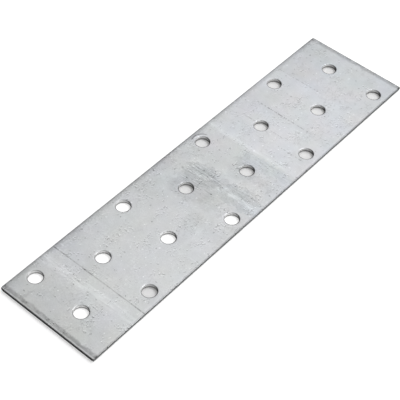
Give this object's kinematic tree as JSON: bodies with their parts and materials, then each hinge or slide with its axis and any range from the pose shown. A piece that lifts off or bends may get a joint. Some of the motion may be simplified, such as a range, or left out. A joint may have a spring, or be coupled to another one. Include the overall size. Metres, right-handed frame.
{
  "type": "mending plate",
  "caption": "Flat galvanised steel mending plate for joining timbers end to end or edge to edge, with a staggered grid of round nail holes.",
  "frame": {"origin": "the middle of the underside, where the plate rests", "axes": "+X along the plate's length, +Y across its width, +Z square to it, out of the top face that the punch entered"},
  "size_m": [0.16, 0.04, 0.0015],
  "materials": {
    "galvanised_steel": "satin"
  },
  "bodies": {
    "root": {"mending_plate": "galvanised_steel"}
  },
  "joints": []
}
